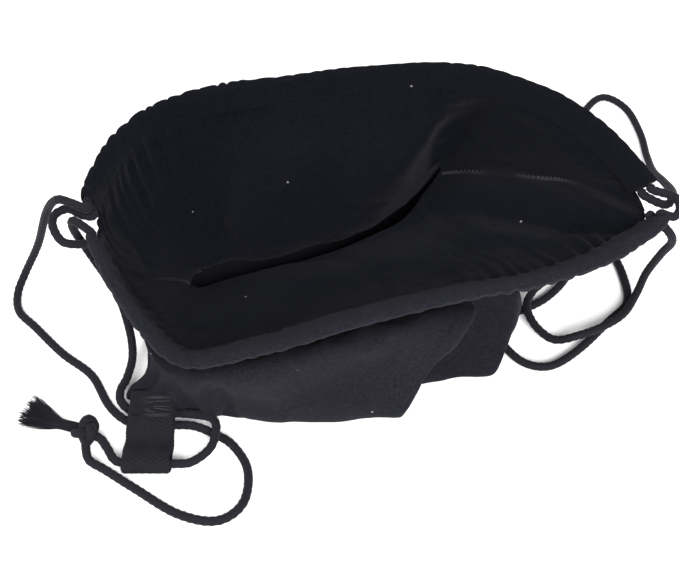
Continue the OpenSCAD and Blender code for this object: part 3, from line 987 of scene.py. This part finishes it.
SEAMS = {}
for lip, (low, high) in LIPS.items():
    sleeve = casing_cloth(f"{lip}_casing_cloth", low, high)
    # Painted shade: the back casing gets the darker copy of the cloth, the front casing the lit one.
    finish_piece(sleeve, CLOTH_LIT if lip == "front" else CLOTH_PAINTED_SHADE, [f"{lip}_casing"])
    hem = stitches(f"{lip}_hem_thread", low, high)
    finish_piece(hem, THREAD, [f"{lip}_hem_stitch"])
    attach(sleeve, f"{lip}_lip")
    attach(hem, f"{lip}_lip")
    SEAMS[lip] = (sleeve, hem)

# ---------------------------------------------------------------- side seams

OVERLOCK_PITCH = 1.35
OVERLOCK_HALF = 2.2
OVERLOCK_OVERLAP = 0.4
OVERLOCK_LIFT = 0.35
OVERLOCK_R = 0.2
OVERLOCK_START = 2.0


def overlock(name, column, beside, until):
    """Zigzag thread over the raw edge of a side seam, down the inside of the bag."""
    normals = surface_normals(cloth)[:, column]
    normals = normals * np.where(normals @ TOWARDS_CAMERA > 0, 1.0, -1.0)[:, None]
    side = cloth[:, beside] - cloth[:, column]
    side = side / np.linalg.norm(side, axis=1)[:, None]
    strand = []
    for k, d in enumerate(np.arange(OVERLOCK_START, until, OVERLOCK_PITCH / 2)):
        place, lift, over = (
            np.array([np.interp(d, depth, value[:, i]) for i in range(3)])
            for value in (cloth[:, column], normals, side))
        strand.append(place + lift * OVERLOCK_LIFT + over * (OVERLOCK_HALF if k % 2 else -OVERLOCK_OVERLAP))
    path, _ = smooth_route(strand, 0.45)
    verts, faces = [], []
    add_tube(verts, faces, path, round_section(THREAD_SIDES, OVERLOCK_R))
    return mesh_object(name, verts, faces)


left_overlock = overlock("left_overlock", 0, 2, knots[VALLEY_ROW])
right_overlock = overlock("right_overlock", seam, seam - 2, knots[VALLEY_ROW])
# Painted light: both side seams are serged with one thread, but the left overlock gets the darker thread as
# painted shade and the right one the paler thread as a painted highlight.
for made, side, look in ((left_overlock, "left", THREAD), (right_overlock, "right", PALE_THREAD)):
    finish_piece(made, look, [f"side_seam_{side}"])
    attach(made, "bag")

# ---------------------------------------------------------------- webbing loops

WEB_W = 20.0
WEB_T = 1.5
EYE_X = 34.0
LOOP_R = 4.0
SEWN_L = 16.0
BRIDGE_H = 4.6
TABS = {
    "left": (np.array([-94.0, -42.0, 0.0]), math.radians(-90)),
    "right": (np.array([61.0, 44.0, 0.0]), math.radians(50)),
}
WEB_STEP = 0.3
WEB_COLUMNS = 61
WEB_EDGE = 0.9
HERRINGBONE_PITCH = 1.7
HERRINGBONE_WIDTH = 5.0
HERRINGBONE_SLANT = 0.62
HERRINGBONE_RELIEF = 0.25
TAB_LOWEST = 0.05


def tab_place(side, points):
    at, turn = TABS[side]
    c, s = math.cos(turn), math.sin(turn)
    points = np.asarray(points, dtype=float)
    x, y = points[..., 0] * c - points[..., 1] * s, points[..., 0] * s + points[..., 1] * c
    return np.stack([x, y, points[..., 2]], axis=-1) + at


def webbing_line():
    """Side view of the folded band: out along the bottom, round the eye and back on top."""
    reach = LOOP_R - WEB_T / 2
    bottom = [
        (0, BRIDGE_H + 0.75), (8, BRIDGE_H + 0.75), (14, BRIDGE_H + 0.5), (19, 2.4), (23, 0.95), (29, 0.78)]
    eye = [(EYE_X + reach * math.sin(a), LOOP_R - reach * math.cos(a)) for a in np.linspace(0, math.pi, 7)]
    top = [(30, 6.7), (26, 5.2), (22, 4.7), (18, 6.2), (14, 7.1), (8, BRIDGE_H + 2.6), (0, BRIDGE_H + 2.6)]
    points = [(x, 0.0, z) for x, z in bottom + eye + top]
    return smooth_route(points, WEB_STEP)[0]


def webbing(name, side):
    """A folded band with a herringbone weave, pressed flat where it is sewn."""
    line = webbing_line()
    across = np.linspace(-WEB_W / 2, WEB_W / 2, WEB_COLUMNS)
    tangents = np.gradient(line, axis=0)
    tangents /= np.linalg.norm(tangents, axis=1)[:, None]
    normals = np.stack([-tangents[:, 2], np.zeros(len(line)), tangents[:, 0]], axis=1)
    sheets = []
    for face in (-1, 1):
        points = np.zeros((len(line), len(across), 3))
        for i, (p, n) in enumerate(zip(line, normals)):
            sewn = 0.35 + 0.65 * min(1.0, max(0.0, (p[0] - SEWN_L + 3) / 4.0))
            for j, y in enumerate(across):
                zig = abs((y / HERRINGBONE_WIDTH) % 2.0 - 1.0) * HERRINGBONE_WIDTH
                slant = i * WEB_STEP + HERRINGBONE_SLANT * zig * face
                rib = math.sin(2 * math.pi * slant / HERRINGBONE_PITCH)
                edge_drop = max(0.0, abs(y) - WEB_W / 2 + WEB_EDGE) * 0.45
                raised = WEB_T / 2 - 0.15 + sewn * HERRINGBONE_RELIEF * rib - edge_drop
                wavy_y = y * (1 - 0.012 * math.sin(i * 0.21))
                points[i, j] = p + n * face * raised + np.array([0, wavy_y, 0])
        sheets.append(points)
    rows, columns = len(line), 2 * len(across)
    grid = np.concatenate([sheets[0], sheets[1][:, ::-1]], axis=1)
    placed = tab_place(side, grid)
    placed[..., 2] = np.maximum(placed[..., 2], TAB_LOWEST)
    faces = capped(grid_faces(rows, columns, wrap=True), rows, columns)
    return mesh_object(name, placed.reshape(-1, 3), faces)


TACK_ROWS = (3.5, 12.5)
TACK_HALF = 0.9
LOOSE_STITCHES = 9
TACK_R = 0.14


def tacks(name, side, seed):
    """Two bar tacks and the untidy machine stitches between them."""
    rng = random.Random(seed)
    top = BRIDGE_H + 2 * WEB_T + 0.25
    lines = []
    for x in TACK_ROWS:
        zigzag = [(x + (TACK_HALF if k % 2 else -TACK_HALF), y, top)
                  for k, y in enumerate(np.arange(-8.2, 8.3, 0.55))]
        lines.append(zigzag)
    for _ in range(LOOSE_STITCHES):
        x, y = rng.uniform(1.5, 12.0), rng.uniform(-8.0, 2.0)
        slant = rng.uniform(-2.5, 2.5)
        run = rng.uniform(4.0, 8.0)
        lines.append([(x + slant * f, min(9.0, y + run * f), top + 0.1 + 0.12 * math.sin(9 * f))
                      for f in (0, 0.33, 0.66, 1)])
    verts, faces = [], []
    for line in lines:
        path, _ = smooth_route(line, 0.4)
        add_tube(verts, faces, tab_place(side, path), round_section(THREAD_SIDES, TACK_R))
    return mesh_object(name, verts, faces)


for side, seed in (("left", 3), ("right", 4)):
    band = finish_piece(webbing(f"{side}_webbing", side), WEBBING, [f"tab_{side}"])
    sewn = finish_piece(tacks(f"{side}_tacks", side, seed), PALE_THREAD, [f"tab_stitch_{side}"])
    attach(band, "bag")
    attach(sewn, "bag")

# ---------------------------------------------------------------- each lip's sleeve and hem, read back from SEAMS and left as they are

for lip in ("front", "back"):
    sleeve, hem = SEAMS[lip]

# ---------------------------------------------------------------- floor and light

FLOOR_HALF = 6.0
floor_data = bpy.data.meshes.new("floor")
corners = [(x * FLOOR_HALF, y * FLOOR_HALF, 0) for x, y in ((-1, -1), (1, -1), (1, 1), (-1, 1))]
floor_data.from_pydata(corners, [], [(0, 1, 2, 3)])
floor = bpy.data.objects.new("floor", floor_data)
bpy.context.scene.collection.objects.link(floor)
floor_look, _, floor_shader = material("floor", 0.85)
floor_shader.inputs["Base Color"].default_value = (0.93, 0.93, 0.93, 1.0)
floor.data.materials.append(floor_look)

world = bpy.data.worlds.new("studio")
world.use_nodes = True
background = world.node_tree.nodes["Background"]
background.inputs["Color"].default_value = (1.0, 1.0, 1.0, 1.0)
background.inputs["Strength"].default_value = 0.95
bpy.context.scene.world = world
bpy.context.scene.view_settings.view_transform = "Standard"


def area_light(name, place, size, power):
    light = bpy.data.lights.new(name, "AREA")
    light.size = size
    light.energy = power
    made = bpy.data.objects.new(name, light)
    made.location = place
    made.rotation_euler = (CAMERA_TARGET - Vector(place)).to_track_quat("-Z", "Y").to_euler()
    bpy.context.scene.collection.objects.link(made)


area_light("key", (0.3, -1.0, 0.8), 0.6, 30.0)
area_light("side", (-0.9, 0.1, 0.9), 0.6, 10.0)
